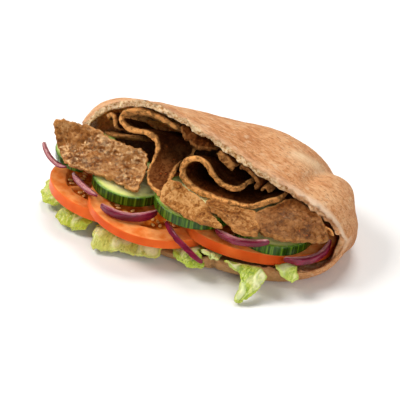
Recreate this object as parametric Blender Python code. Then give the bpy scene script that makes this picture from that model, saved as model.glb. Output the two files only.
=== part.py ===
"""Doner kebab sandwich: an oval pita, cut open along one long side and filled with lettuce, tomato,
cucumber, red onion and folded slices of doner meat.

Metres, +Z up. The origin is in the middle of the flat patch that the bread rests on. X runs along the
mouth, -Y points out of the mouth, and +Y points to the closed side. Every piece is a solid of its own,
about 0.3 mm clear of its neighbours.
"""

import math

import bmesh
import bpy
import numpy as np
from mathutils import Euler, Matrix, Vector

MM = 0.001

# --- Driving sizes, in millimetres -------------------------------------------------------------------
PITA_HALF_LENGTH = 85.0
PITA_CENTRE_X = -7.0
PITA_FRONT = -49.0
PITA_BACK = 46.0
PITA_WALL = 4.0
FRONT_SQUARENESS = 2.15  # exponent of the oval: 2 is an ellipse
BACK_SQUARENESS = 2.35
MOUTH_LEFT = (-92.0, 5.0, 31.0)  # the corners where the two walls part
MOUTH_RIGHT = (78.0, -8.0, 20.0)
LOWER_LIP_HEIGHT = 7.4  # at the left, and 3.6 mm more at the right
BACK_RIM_HEIGHT = 14.0
# The cut edge of the upper wall, from corner to corner: along X, out of the mouth, and up.
MOUTH_ARCH = (
    MOUTH_LEFT,
    (-88.5, 1.5, 32),
    (-84, -2, 35.5),
    (-79.7, -4.5, 40.6),
    (-75.3, -6.5, 45.8),
    (-70.2, -8.5, 51.2),
    (-63.7, -10, 55.8),
    (-53.4, -12, 61.8),
    (-40.9, -13, 66.9),
    (-33, -13, 67.8),
    (-19, -13, 65),
    (5, -13, 58),
    (27, -13, 49.5),
    (54, -12, 40.5),
    (66, -10, 33.5),
    (73, -9, 27.5),
    MOUTH_RIGHT,
)
# The top of the bread part way back from the mouth: along X, and up.
SHOULDER = (
    (-92, 31.5),
    (-89.5, 38),
    (-84, 43),
    (-78, 45.5),
    (-72, 46.5),
    (-62, 47.5),
    (-40, 47),
    (-17, 50),
    (10, 51.2),
    (30, 48.4),
    (45, 42.6),
    (52, 38.7),
    (58, 36.3),
    (68, 31.5),
    (78, 21),
)
SLICE_OF_MEAT = 2.4
CURL_OF_MEAT = 3.0
LEAF = 1.0


# --- Materials ---------------------------------------------------------------------------------------
# Colour and roughness of each ingredient, which is the first word of a node's name.
FINISHES = {
    "pita": ((0.62, 0.36, 0.19), 0.8),
    "tomato": ((0.72, 0.13, 0.03), 0.3),
    "cucumber": ((0.45, 0.55, 0.18), 0.35),
    "onion": ((0.30, 0.04, 0.12), 0.3),
    "lettuce": ((0.55, 0.68, 0.20), 0.4),
    "meat": ((0.28, 0.14, 0.06), 0.5),
}


def finish_of(name):
    """A material of its own for the named piece."""
    colour, roughness = FINISHES[name.split("_")[0]]
    material = bpy.data.materials.new(name + "_finish")
    material.use_nodes = True
    shader = material.node_tree.nodes["Principled BSDF"]
    shader.inputs["Base Color"].default_value = (*colour, 1.0)
    shader.inputs["Roughness"].default_value = roughness
    shader.inputs["Metallic"].default_value = 0.0
    material.diffuse_color = (*colour, 1.0)
    return material


# --- Curves and sheets -------------------------------------------------------------------------------
def curve_through(points, count, spans=12):
    """`count` points at equal steps along the Catmull-Rom curve through `points`."""
    p = np.array(points, float)
    p = np.vstack([2 * p[0] - p[1], p, 2 * p[-1] - p[-2]])
    t = np.linspace(0, 1, spans, endpoint=False)[:, None]
    pieces = [
        0.5 * (2 * b + (c - a) * t + (2 * a - 5 * b + 4 * c - d) * t**2 + (3 * b - a - 3 * c + d) * t**3)
        for a, b, c, d in zip(p, p[1:], p[2:], p[3:])
    ]
    line = np.vstack([*pieces, p[-2:-1]])
    along = np.concatenate([[0], np.cumsum(np.linalg.norm(np.diff(line, axis=0), axis=1))])
    steps = np.linspace(0, along[-1], count)
    return np.column_stack([np.interp(steps, along, line[:, k]) for k in range(line.shape[1])])


def net(rows, across, deep):
    """A grid of points, `deep` by `across`, on the smooth sheet through rows of control points."""
    lines = np.array([curve_through(row, across) for row in rows])
    return np.stack([curve_through(lines[:, i], deep) for i in range(across)], axis=1)


def grid_normals(grid):
    """The sheet's unit normal at each point of a grid."""
    down, along = np.gradient(grid, axis=0), np.gradient(grid, axis=1)
    normals = np.cross(along, down)
    return normals / np.linalg.norm(normals, axis=2, keepdims=True)


def make_object(name, points, faces):
    """A named mesh object from points in millimetres, with its faces turned outwards."""
    mesh = bpy.data.meshes.new(name)
    bm = bmesh.new()
    corners = [bm.verts.new(Vector(p) * MM) for p in points]
    for face in faces:
        bm.faces.new([corners[i] for i in face])
    bmesh.ops.recalc_face_normals(bm, faces=bm.faces)
    bm.to_mesh(mesh)
    bm.free()
    mesh.materials.append(finish_of(name))
    mesh.shade_smooth()
    mesh.set_sharp_from_angle(angle=math.radians(50))
    obj = bpy.data.objects.new(name, mesh)
    bpy.context.scene.collection.objects.link(obj)
    return obj


def sheet_faces(deep, across):
    """Quads of a closed slab whose two skins are grids, the second one numbered after the first."""
    skin = deep * across

    def at(row, column, layer):
        return layer * skin + row * across + column

    faces = []
    for r in range(deep - 1):
        for c in range(across - 1):
            square = [(r, c), (r, c + 1), (r + 1, c + 1), (r + 1, c)]
            faces.append([at(*corner, 0) for corner in square])
            faces.append([at(*corner, 1) for corner in reversed(square)])
    border = (
        [(0, c) for c in range(across - 1)]
        + [(r, across - 1) for r in range(deep - 1)]
        + [(deep - 1, c) for c in range(across - 1, 0, -1)]
        + [(r, 0) for r in range(deep - 1, 0, -1)]
    )
    for a, b in zip(border, border[1:] + border[:1]):
        faces.append([at(*b, 0), at(*a, 0), at(*a, 1), at(*b, 1)])
    return faces


def sheet_solid(name, grid, thickness):
    """A bent sheet of even thickness whose middle is the grid."""
    deep, across = grid.shape[:2]
    half = grid_normals(grid) * thickness / 2
    points = np.concatenate([(grid + half).reshape(-1, 3), (grid - half).reshape(-1, 3)])
    return make_object(name, points, sheet_faces(deep, across))


# --- The bread ---------------------------------------------------------------------------------------
def oval_share(x, squareness):
    """Half the oval's depth at x, as a share of its largest."""
    out = abs((x - PITA_CENTRE_X) / PITA_HALF_LENGTH)
    return max(0.0, 1 - out**squareness) ** (1 / squareness)


def along_curve(points, x):
    """The curve through `points` at x."""
    line = curve_through(points, 200)
    return [float(np.interp(x, line[:, 0], line[:, k])) for k in range(1, line.shape[1])]


def pita_section(x, inset, count):
    """The bread's outline in the plane at x, from the lower lip round the back to the cut edge of the
    upper wall. `inset` is 0 for the outside and the wall's thickness for the inside."""
    share = oval_share(x, FRONT_SQUARENESS)
    right = (x - MOUTH_LEFT[0]) / (MOUTH_RIGHT[0] - MOUTH_LEFT[0])
    corner_y = MOUTH_LEFT[1] + (MOUTH_RIGHT[1] - MOUTH_LEFT[1]) * right
    corner_z = MOUTH_LEFT[2] + (MOUTH_RIGHT[2] - MOUTH_LEFT[2]) * right
    front = corner_y + (PITA_FRONT - corner_y) * share
    back = corner_y + (PITA_BACK - corner_y) * oval_share(x, BACK_SQUARENESS)
    room = back - front
    lift = corner_z * max(0.0, 1 - share / 0.6) ** (2 - 0.6 * right)
    low_height = min(1.0, share / 0.7)
    lip = lift + (LOWER_LIP_HEIGHT + 3.6 * min(1.0, max(0.0, x / 25))) * low_height
    rim = lift + BACK_RIM_HEIGHT * low_height
    flare = min(60 * max(0.0, 0.7 - share), 0.2 * room)
    d = min(inset, 0.22 * room + 0.2)
    low = lift + d
    floor = [
        (front + 0.9 + d, lip - 0.15 * d),
        (front + 0.2 + d + 0.3 * flare, lift + 0.55 * (lip - lift)),
        (front + 0.055 * room + 0.5 * d + flare, low + 0.6),
        (front + 0.16 * room + 1.4 * flare, low),
        (front + 0.55 * room + 0.4 * flare, low),
        (front + 0.84 * room, low),
        (back - 0.04 * room - 0.6 * d, low + 0.25 * (rim - lift)),
        (back - d, rim),
    ]
    edge_y, edge_z = along_curve(MOUTH_ARCH, x)
    (shoulder,) = along_curve(SHOULDER, x)
    drop = min(d, max(0.3, 0.45 * (edge_z - lip)))
    roof = []
    for q in (0.97, 0.9, 0.78, 0.62, 0.45, 0.27, 0.12, 0.0):
        line = edge_z + (shoulder - edge_z) * q / 0.6 - drop
        roof.append((edge_y + (back - d - edge_y) * q, rim + (line - rim) * math.sqrt(1 - q**5)))
    outline = curve_through(floor + roof, count)
    outline[:, 1] = np.maximum(outline[:, 1], low)
    return np.column_stack([np.full(count, x), outline])


def make_pita(stations=25, count=24):
    """The pocket: an outer and an inner skin, joined along the lower lip and the cut edge."""
    skins = []
    for inset, half_length in ((0.0, PITA_HALF_LENGTH), (PITA_WALL, PITA_HALF_LENGTH - 0.9 * PITA_WALL)):
        for i in range(1, stations - 1):
            x = PITA_CENTRE_X - half_length * math.cos(math.pi * i / (stations - 1))
            skins.append(pita_section(x, inset, count))
    inward = np.array([PITA_WALL, 0, 0])
    corners = np.array([MOUTH_LEFT, MOUTH_RIGHT, MOUTH_LEFT + inward, MOUTH_RIGHT - inward])
    points = np.concatenate([np.array(skins).reshape(-1, 3), corners])
    rows = stations - 2
    last = rows - 1

    def at(row, column, layer):
        return (layer * rows + row) * count + column

    def corner(end, layer):
        return 2 * rows * count + 2 * layer + end

    faces = []
    for layer in (0, 1):
        for c in range(count - 1):
            for r in range(last):
                square = [(r, c), (r + 1, c), (r + 1, c + 1), (r, c + 1)]
                faces.append([at(*spot, layer) for spot in square])
            faces.append([corner(0, layer), at(0, c, layer), at(0, c + 1, layer)])
            faces.append([corner(1, layer), at(last, c + 1, layer), at(last, c, layer)])
    for c in (0, count - 1):
        faces += [[at(r, c, 0), at(r + 1, c, 0), at(r + 1, c, 1), at(r, c, 1)] for r in range(last)]
        faces.append([corner(0, 0), at(0, c, 0), at(0, c, 1), corner(0, 1)])
        faces.append([corner(1, 0), at(last, c, 0), at(last, c, 1), corner(1, 1)])
    return make_object("pita", points, faces)


# --- Rigid slices ------------------------------------------------------------------------------------
def round_slice(name, radius, thickness, centre, tilt, lobes=0.0, bulge=0.0, chord=99.0, oval=(1.0, 0.0)):
    """A disc with eased edges, turned by `tilt` degrees about X and Y. `lobes` is how far its outline
    waves, `bulge` how far its rind stands out at half height, `chord` how far from the centre its right
    side is cut off, and `oval` its depth as a share of its width and the turn of its long way."""
    segments = 28
    ease = 0.5
    profile = [
        (-ease, -thickness / 2),
        (0.0, -thickness / 2 + ease),
        (bulge, 0.0),
        (0.0, thickness / 2 - ease),
        (-ease, thickness / 2),
    ]
    turn = Euler([math.radians(tilt[0]), math.radians(tilt[1]), 0]).to_matrix()
    squash = Matrix.Rotation(math.radians(oval[1]), 3, "Z") @ Matrix.Diagonal((1.0, oval[0], 1.0))
    points = []
    for grow, height in profile:
        for i in range(segments):
            a = 2 * math.pi * i / segments
            r = radius + grow + lobes * (math.cos(3 * a + 0.6) + 0.5 * math.cos(5 * a))
            flat = Vector((min(r * math.cos(a), chord), r * math.sin(a), height))
            points.append(turn @ squash @ flat + Vector(centre))
    faces = []
    for ring in range(len(profile) - 1):
        for i in range(segments):
            a, b = ring * segments + i, ring * segments + (i + 1) % segments
            faces.append([a, b, b + segments, a + segments])
    faces.append([(len(profile) - 1) * segments + i for i in range(segments)])
    faces.append([i for i in reversed(range(segments))])
    return make_object(name, points, faces)


def onion_arc(name, start, middle, end, wall=3.0, height=4.0, steps=12):
    """A length of an onion ring, along the circular arc through three points."""
    a, b, c = np.array(start, float), np.array(middle, float), np.array(end, float)
    ab, ac = b - a, c - a
    axis = np.cross(ab, ac)
    centre = a + (np.cross(axis, ab) * (ac @ ac) + np.cross(ac, axis) * (ab @ ab)) / (2 * axis @ axis)
    up = axis / np.linalg.norm(axis)
    radius = np.linalg.norm(a - centre)
    u = (a - centre) / radius
    v = np.cross(up, u)
    sweep = math.atan2((c - centre) @ v, (c - centre) @ u) % (2 * math.pi)
    points = []
    for i in range(steps + 1):
        angle = sweep * i / steps
        out = u * math.cos(angle) + v * math.sin(angle)
        slim = min(1.0, 0.5 + 2.5 * min(i, steps - i) / steps)
        for across, along in ((0.5, -0.5), (0.5, 0.5), (-0.5, 0.5), (-0.5, -0.5)):
            away = radius + across * wall * slim
            points.append(centre + out * away + up * along * height * slim**0.5)
    faces = [[3, 2, 1, 0], [4 * steps + k for k in range(4)]]
    for i in range(0, 4 * steps, 4):
        faces += [[i + k, i + (k + 1) % 4, i + 4 + (k + 1) % 4, i + 4 + k] for k in range(4)]
    return make_object(name, points, faces)


# --- Bent slices -------------------------------------------------------------------------------------
def curled_slice(name, edge, reach, thickness, across=24, deep=4):
    """A slice of meat whose front edge follows `edge`. From there it runs into the bread by `reach`,
    vectors spread evenly along the edge."""
    front = curve_through(edge, across)
    spread = np.linspace(0, 1, len(reach))
    along = np.linspace(0, 1, across)
    inward = np.column_stack([np.interp(along, spread, column) for column in np.array(reach).T])
    steps = np.linspace(0, 1, deep)
    grid = np.array([front + inward * t for t in steps])
    return sheet_solid(name, grid, thickness)


def flat_slice(name, rows, across=14, deep=7):
    """A slice of meat on the smooth sheet through rows of control points."""
    return sheet_solid(name, net(rows, across, deep), SLICE_OF_MEAT)


def leaf(name, rows, across=15, deep=8, frill=0.0, waves=3.0):
    """A crumpled leaf through rows of control points, its last row the frilly one."""
    grid = net(rows, across, deep)
    t = np.linspace(0, 1, deep)[:, None, None]
    s = np.linspace(0, 1, across)[None, :, None]
    grid = grid + grid_normals(grid) * frill * t**2 * np.sin(2 * math.pi * waves * s + 2.5 * t)
    return sheet_solid(name, grid, LEAF)


def main():
    for obj in list(bpy.data.objects):
        bpy.data.objects.remove(obj)

    make_pita()

    lean = (-5, 8)
    lean_right = (-1, 8)
    round_slice("tomato_left", 31.0, 6.4, (-53.8, -26, 14.6), lean, 0.3, 0.8, oval=(0.85, 0))
    round_slice("tomato_middle", 34.2, 5.0, (-20.9, -28, 16.8), lean, 0.4, 0.6)
    round_slice("tomato_right", 37.0, 6.5, (34.7, -17.8, 15.9), lean_right, 0.4, 0.8, oval=(0.6, 27))

    round_slice("cucumber_left", 17.0, 5.0, (-70, -20, 30), (0, 4), bulge=0.3, chord=7.5)
    round_slice("cucumber_middle_left", 19.7, 5.5, (-38.1, -26.4, 25.3), lean, bulge=0.3)
    round_slice("cucumber_middle_right", 20.5, 5.5, (2.9, -28, 27.6), (-3.5, 7.4), bulge=0.3)
    round_slice("cucumber_right", 20.0, 5.5, (42.3, -17.5, 21.2), lean_right, bulge=0.3)

    onion_arc("onion_tip_left", (-69.8, -39.5, 30.2), (-79.3, -37.5, 29.5), (-90.2, -32, 35.2), 2.2, 2.6)
    onion_arc("onion_left", (-67.6, -36, 25), (-54.8, -45, 26.5), (-40.4, -53, 30.1))
    onion_arc("onion_middle_left", (-35.8, -55.2, 26.8), (-21, -54.2, 24.7), (-12.8, -39.4, 22.2))
    onion_arc("onion_strip", (-4.6, -43.4, 21.8), (9.7, -52.1, 19.2), (23.3, -53, 12.6), 1.8, 2.8)
    onion_arc("onion_middle_right", (23, -40.8, 25.2), (36.4, -43.2, 25.1), (51, -37, 26.3), 3.0, 3.4)
    onion_arc("onion_right", (58.1, -35, 17.4), (69.3, -22.5, 15.8), (68.7, -7.5, 16.7))

    flat_slice(
        "meat_flap_left",
        (
            ((-84, -29, 49), (-77, -24, 47), (-70, -19.5, 45), (-61, -18.5, 43), (-51, -20, 42),
             (-33.5, -18.5, 41)),
            ((-81, -32, 42), (-72, -30, 39), (-62, -29, 37), (-52, -28, 36.5), (-42, -28, 36),
             (-29, -25, 36.5)),
            ((-76, -36, 35), (-66, -41, 34), (-57, -41, 33.6), (-48, -40.5, 33), (-38, -39.5, 31.5),
             (-24, -40, 30)),
        ),
        across=14,
        deep=6,
    )
    curled_slice(
        "meat_curl_large",
        (
            (-20, -11, 55.4),
            (-24.5, -11, 56.7),
            (-29.7, -11, 58.3),
            (-35.5, -11.5, 59.4),
            (-40.1, -12, 60),
            (-44.8, -13, 59.2),
            (-48.1, -14, 58.6),
            (-51.2, -15, 56.9),
            (-52.3, -16, 54.3),
            (-50.1, -17, 52.3),
            (-47.2, -17.5, 50.5),
            (-43.5, -17.5, 49.8),
            (-38.4, -17.5, 50.8),
            (-33.1, -18, 51.2),
            (-28.4, -19, 50.5),
            (-25.9, -20, 48.2),
            (-25.3, -21.5, 45.1),
            (-25.8, -23.5, 41.2),
            (-25.1, -28, 38),
            (-22, -34, 35.4),
            (-16, -38.5, 35),
            (-10.5, -41, 34.9),
        ),
        (
            (0, 10, -7),
            (0, 18, -13),
            (0, 20, -15),
            (1, 21, -13.5),
            (7, 22, -12),
            (11, 20, -8),
            (15, 13, -5),
            (12, 7, 0),
            (9, 5, 0.5),
            (5, 3, 0.5),
        ),
        CURL_OF_MEAT,
        across=38,
    )
    curled_slice(
        "meat_curl_small",
        (
            (21.5, -18.5, 35.6),
            (17.6, -19.5, 35.6),
            (12.5, -20.5, 37),
            (8.8, -20.5, 40),
            (6.2, -21, 44.2),
            (3.7, -21.5, 47.7),
            (0.5, -22, 49),
            (-3.4, -22.5, 48.1),
            (-7, -23, 45.4),
            (-9, -23.5, 41.8),
            (-8.6, -24, 38),
            (-6.2, -24.5, 35),
            (-2.1, -25.5, 33.2),
            (4, -26.5, 32.3),
            (10.5, -26.5, 31.9),
            (16.9, -25.5, 31.3),
            (22.4, -24, 30.6),
            (27.9, -22.5, 30.2),
            (32.1, -21, 30.8),
            (35.5, -18.5, 32.4),
            (39.4, -15, 33.8),
            (42.7, -11, 34),
        ),
        (
            (1, 20, -1),
            (2, 22, -3.5),
            (3, 22, -9.5),
            (5, 22, -10.5),
            (6, 22, -5),
            (4, 26, -1.2),
            (1, 26, -1.2),
            (-1, 22, -1.5),
            (-3, 18, -2.5),
            (-4, 14, -3),
        ),
        CURL_OF_MEAT,
        across=33,
    )
    flat_slice(
        "meat_flap_front",
        (
            ((-6.4, -39.5, 41), (-4, -38.5, 43.2), (-1.2, -37.5, 42.2), (3.2, -37, 39.4),
             (9.6, -37, 37), (14.8, -38, 34.4)),
            ((-7, -43, 38.5), (-2.9, -42, 38.8), (2.6, -41.5, 36.9), (8.5, -41.5, 34.9),
             (15.2, -42, 33.4), (22.4, -41.8, 31.2)),
            ((-4.9, -47, 36.2), (0.4, -47, 34.2), (6.6, -47.5, 33), (13.9, -48, 32.2),
             (21, -46.8, 31), (29.5, -43.2, 29.6)),
        ),
        across=13,
        deep=5,
    )
    flat_slice(
        "meat_lump_front",
        (
            ((11.5, -29, 31.2), (18, -27.8, 30.9), (24, -26.4, 30.2), (29.5, -25, 29.8),
             (34.4, -24, 30)),
            ((13.9, -34, 31.2), (20.5, -33.5, 31.8), (26.2, -33, 31.6), (32.6, -32, 30.9),
             (37.2, -30.6, 30.1)),
            ((17.6, -36.3, 32.4), (23, -36.6, 32.6), (28.7, -36.6, 31.6), (36, -36.8, 30.5),
             (42.8, -34.9, 29.9)),
            ((20.3, -37.7, 33.4), (25, -38.2, 32.9), (31, -40.2, 31.2), (37.5, -42.1, 30),
             (44.9, -40, 29.9)),
        ),
        across=11,
        deep=6,
    )
    flat_slice(
        "meat_flap_right",
        (
            ((36.3, -26.6, 30.6), (39.8, -22.2, 32), (42.9, -17, 32), (45.4, -12.5, 33.4),
             (48.6, -10, 34.4),
             (54, -10, 33.4), (59.7, -11.2, 31.7), (64.1, -12.2, 30.7)),
            ((39.8, -30.4, 29.6), (44.7, -28, 30.5), (49.2, -25, 32), (52.5, -21, 32.4),
             (56.9, -19, 32),
             (60.9, -17, 31), (64.8, -16, 30), (68, -15.5, 29)),
            ((46, -35.3, 28.6), (52.5, -35.2, 28.7), (57.9, -33, 27.7), (62.3, -30, 27.2),
             (66.4, -27.5, 27),
             (69.4, -25, 26.7), (71.6, -22, 26.3), (73, -19.5, 26)),
        ),
        across=14,
        deep=5,
    )
    flat_slice(
        "meat_strand_top",
        (
            ((-11, 3, 49), (-6, 3, 48.6), (-1, 3, 48), (3, 3, 47.2), (6, 3, 46)),
            ((-15.8, -11.5, 57.4), (-12, -11.5, 56), (-7.2, -11.5, 54), (-2.6, -11.5, 51.6),
             (1, -11.5, 49.4)),
            ((-14, -14.5, 55.6), (-11.4, -14.7, 53.4), (-8, -15, 51.6), (-4.6, -14.6, 50.4),
             (-1.4, -14, 49.8)),
        ),
        across=9,
        deep=6,
    )
    flat_slice(
        "meat_fold_back",
        (
            ((4, -12, 48.4), (8, -12.5, 45.4), (11.9, -13, 43.4), (14.8, -13.2, 42.4)),
            ((8, -11, 49.8), (11.2, -11, 48.4), (13.4, -11, 46.2), (15.2, -11, 43.6)),
            ((8, 6, 45), (10.5, 6, 44), (12.6, 6, 42.6), (14, 6, 41)),
        ),
        across=8,
        deep=6,
    )
    curled_slice(
        "meat_fold_right",
        (
            (17.4, -10, 42),
            (18.4, -10.5, 45),
            (21.2, -11, 44.8),
            (24.6, -11, 43),
            (27.6, -11, 40.4),
            (28.2, -11, 37.2),
            (26.4, -11, 34.6),
        ),
        ((0, 18, -4), (0, 18, -5)),
        SLICE_OF_MEAT,
        across=14,
    )
    curled_slice(
        "meat_fold_tip",
        ((30.2, -10, 33.6), (31.4, -10, 36.2), (33.4, -10, 36.2), (34.2, -10, 33.8)),
        ((0, 8, 0), (0, 8, 0)),
        SLICE_OF_MEAT / 2,
        across=8,
        deep=3,
    )
    curled_slice(
        "meat_curl_corner",
        (
            (71.9, -17.3, 23.2),
            (70.6, -16.5, 26),
            (70.7, -15.5, 28.3),
            (72.2, -14.8, 28.6),
            (73.6, -14.5, 26.8),
            (74, -14.6, 24.6),
        ),
        ((-5, 4, -2), (-5, 4, -2)),
        SLICE_OF_MEAT / 2,
        across=12,
        deep=3,
    )
    curled_slice(
        "meat_curl_left",
        ((-66.5, -8, 46.5), (-62, -10, 50), (-58.5, -12, 51), (-56.5, -14, 48.5), (-56, -14.5, 45.5)),
        ((1, 14, -9), (1, 14, -7)),
        SLICE_OF_MEAT,
        across=12,
        deep=3,
    )
    curled_slice(
        "meat_strip_left",
        ((-66, -12, 39), (-59, -13, 40), (-51, -13.5, 42.3), (-44, -11, 42.3)),
        ((2, 18, -10), (2, 18, -10)),
        SLICE_OF_MEAT,
        across=9,
        deep=3,
    )

    leaf(
        "lettuce_left",
        (
            ((-72, -8, 10), (-68, -16, 9.4), (-63, -24, 8.6)),
            ((-77, -18, 12), (-73, -27, 11), (-67.5, -33, 10.4)),
            ((-87, -22, 10.5), (-82, -33, 9), (-73.5, -38.5, 9)),
            ((-94, -25, 8), (-88.5, -38.5, 5), (-79, -42, 5)),
        ),
        across=10,
        deep=7,
        frill=1.2,
    )
    leaf(
        "lettuce_left_front",
        (
            ((-57, -12, 6), (-51, -15, 6), (-45, -18, 6)),
            ((-61, -33, 9), (-56, -37, 9), (-49, -40, 9)),
            ((-70, -43, 8.8), (-61, -46.5, 8.8), (-49, -49, 8.8)),
            ((-72.5, -48.6, 4.2), (-62, -52, 3.2), (-49, -51.5, 5)),
        ),
        across=11,
        deep=7,
        frill=1.0,
    )
    leaf(
        "lettuce_front",
        (
            ((-38, -27, 5.8), (-28, -27, 5.4), (-17, -27, 7), (-4, -27, 8.4)),
            ((-43, -43, 8.8), (-31, -43.5, 8.2), (-18, -45, 9.2), (-4, -46, 9.6)),
            ((-44, -52, 8.8), (-34, -53, 8), (-20, -52.5, 7.5), (-4, -51.7, 7.8)),
            ((-39, -61.5, 1.8), (-29, -58, 4), (-18, -55.5, 3.8), (-4, -53, 5)),
        ),
        across=14,
        deep=7,
        frill=1.2,
    )
    leaf(
        "lettuce_middle",
        (
            ((2, -22, 7), (9, -22, 6.6), (16, -22, 7)),
            ((0, -43, 9.8), (7, -43.6, 10.4), (14.5, -43.8, 11.4)),
            ((2.5, -48.4, 10.2), (11, -48.6, 11.6), (20, -48.3, 13)),
            ((8, -52.3, 8), (16, -53.2, 8), (24, -52, 8.6)),
        ),
        across=10,
        deep=7,
        frill=0.8,
    )
    leaf(
        "lettuce_middle_right",
        (
            ((20, -26, 9.5), (23.5, -26, 9.5), (27, -26, 9.5)),
            ((17.5, -44.8, 12.4), (22, -45.2, 12.6), (27, -45.2, 12.6)),
            ((19, -46.8, 15.2), (24.5, -47, 15.2), (30, -47, 15)),
            ((23.5, -48.8, 15.2), (26.8, -49.8, 14), (29.5, -48.6, 14.6)),
        ),
        across=7,
        deep=7,
        frill=0.5,
        waves=2.0,
    )
    leaf(
        "lettuce_right",
        (
            ((30.5, -44.4, 12.2), (38, -43.3, 12.1), (47.5, -40.3, 12.1)),
            ((33, -47, 13.8), (40.5, -46.2, 13.3), (51, -42.5, 12.8)),
            ((44.5, -50.5, 10), (48.6, -50, 9.8), (55, -46.2, 10.6)),
            ((44.6, -58.2, 2.4), (47.2, -58.8, 2), (50.6, -56.6, 4)),
        ),
        across=8,
        deep=8,
        frill=0.5,
        waves=2.0,
    )
    leaf(
        "lettuce_right_tip",
        (
            ((53.8, -35.6, 12.8), (57.2, -33.2, 12.8), (61.2, -30.3, 12.8)),
            ((58, -38.6, 13.4), (61.2, -36.8, 13.3), (64.6, -34, 13.2)),
            ((64.6, -40, 10.4), (66.2, -39.6, 9.6), (67.6, -37.4, 11)),
        ),
        across=7,
        deep=6,
        frill=0.3,
    )


main()
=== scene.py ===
"""The looks of a doner kebab sandwich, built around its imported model.

Points are worked out in millimetres, in the model's own frame: X along the mouth, -Y out of it, Z up.
"""

import itertools
import math

import bmesh
import bpy
import numpy as np
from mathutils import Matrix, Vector


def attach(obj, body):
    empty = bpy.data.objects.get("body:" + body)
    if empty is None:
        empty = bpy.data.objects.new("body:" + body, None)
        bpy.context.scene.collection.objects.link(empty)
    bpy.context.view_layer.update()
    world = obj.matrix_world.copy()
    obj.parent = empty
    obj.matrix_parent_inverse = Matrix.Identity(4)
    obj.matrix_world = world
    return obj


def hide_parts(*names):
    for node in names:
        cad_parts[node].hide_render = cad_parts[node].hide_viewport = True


MM = 0.001

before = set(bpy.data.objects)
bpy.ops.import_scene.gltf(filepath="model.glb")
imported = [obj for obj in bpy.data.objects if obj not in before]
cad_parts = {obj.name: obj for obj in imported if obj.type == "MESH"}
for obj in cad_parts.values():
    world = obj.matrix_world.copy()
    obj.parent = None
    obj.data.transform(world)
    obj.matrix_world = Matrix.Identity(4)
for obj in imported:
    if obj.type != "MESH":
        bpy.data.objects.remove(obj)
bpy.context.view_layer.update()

# --- Random values -----------------------------------------------------------------------------------
LATTICE_SIZE = 24
LATTICE_START = 100
OCTAVE_STEP = 7.31
LATTICE = np.random.default_rng(11).uniform(-1.0, 1.0, (LATTICE_SIZE,) * 3)


def noise(points, cell, octaves=1):
    """Smooth random values from about -1 to 1 at points, with features `cell` millimetres wide.

    Each further octave is twice as fine and half as high, and starts elsewhere in the lattice.
    """
    total = np.zeros(len(points))
    weight = 1.0
    for octave in range(octaves):
        place = np.asarray(points) / cell * 2**octave + OCTAVE_STEP * octave + LATTICE_START
        corner = np.floor(place).astype(int)
        part = place - corner
        part = part * part * (3 - 2 * part)
        for step in itertools.product((0, 1), repeat=3):
            share = np.prod(np.where(step, part, 1 - part), axis=1)
            index = (corner + np.array(step)) % LATTICE_SIZE
            total += weight * share * LATTICE[index[:, 0], index[:, 1], index[:, 2]]
        weight /= 2
    return total


def smoothstep(low, high, value):
    """0 at low, 1 at high and smooth in between. It falls instead where low is the larger one."""
    t = np.clip((value - low) / (high - low), 0, 1)
    return t * t * (3 - 2 * t)


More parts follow.
